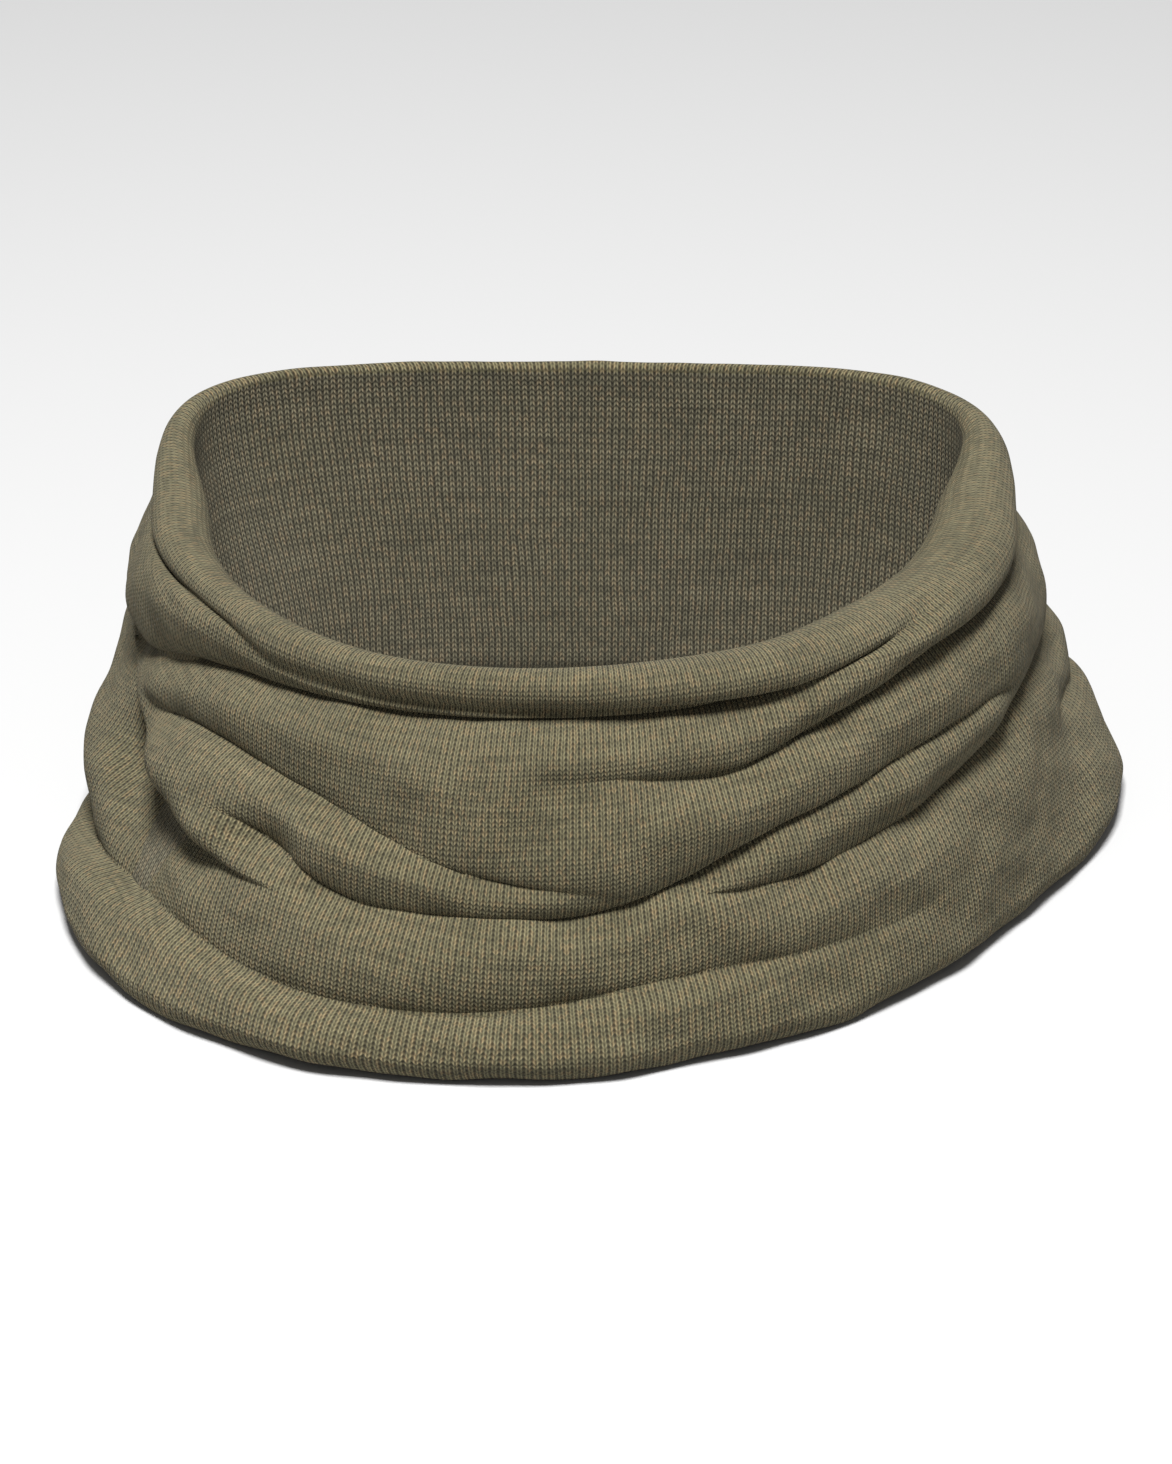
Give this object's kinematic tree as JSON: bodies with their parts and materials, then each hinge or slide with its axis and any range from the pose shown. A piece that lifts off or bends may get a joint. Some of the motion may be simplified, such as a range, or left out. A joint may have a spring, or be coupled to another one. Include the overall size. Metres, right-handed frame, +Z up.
{
  "type": "neck gaiter",
  "caption": "Doubled tube of fine knitted jersey for the neck, standing slumped on its bottom fold, with a soft folded rim, draped wall and blank care label inside.",
  "frame": {"origin": "on the floor under the middle of the whole gaiter", "axes": "+Z up out of the neck opening, +X across the gaiter's long side, -Y towards the front, where the swags are"},
  "size_m": [0.2342, 0.1876, 0.078],
  "materials": {
    "outer_knit": "fine olive jersey with a slight brown and yellow melange, matt, softly fuzzy",
    "inner_knit": "the same olive jersey, wales upright, in shade",
    "sewing_thread": "olive polyester sewing thread, slight sheen",
    "label_tape": "blank off-white satin tape"
  },
  "bodies": {
    "collar": {"bottom_fold": "outer_knit", "outer_layer": "outer_knit", "inner_layer": "inner_knit", "join_seam_allowance": "inner_knit", "overlock_thread": "sewing_thread", "closing_stitches": "sewing_thread"},
    "rim": {"top_fold": "outer_knit"},
    "label": {"care_label": "label_tape", "label_stitches": "sewing_thread"}
  },
  "joints": [
    {"name": "rim_pull_up", "type": "slide", "parent": "collar", "child": "rim", "axis": [0, 0, 1], "range_m": [0, 0.07], "deforming": ["outer_layer", "inner_layer"]},
    {"name": "label_turn", "type": "hinge", "parent": "collar", "child": "label", "pos_m": [0.02696, -0.06916, 0.00245], "axis": [0.9119, 0.4104, 0], "range_deg": [0, 50]}
  ]
}
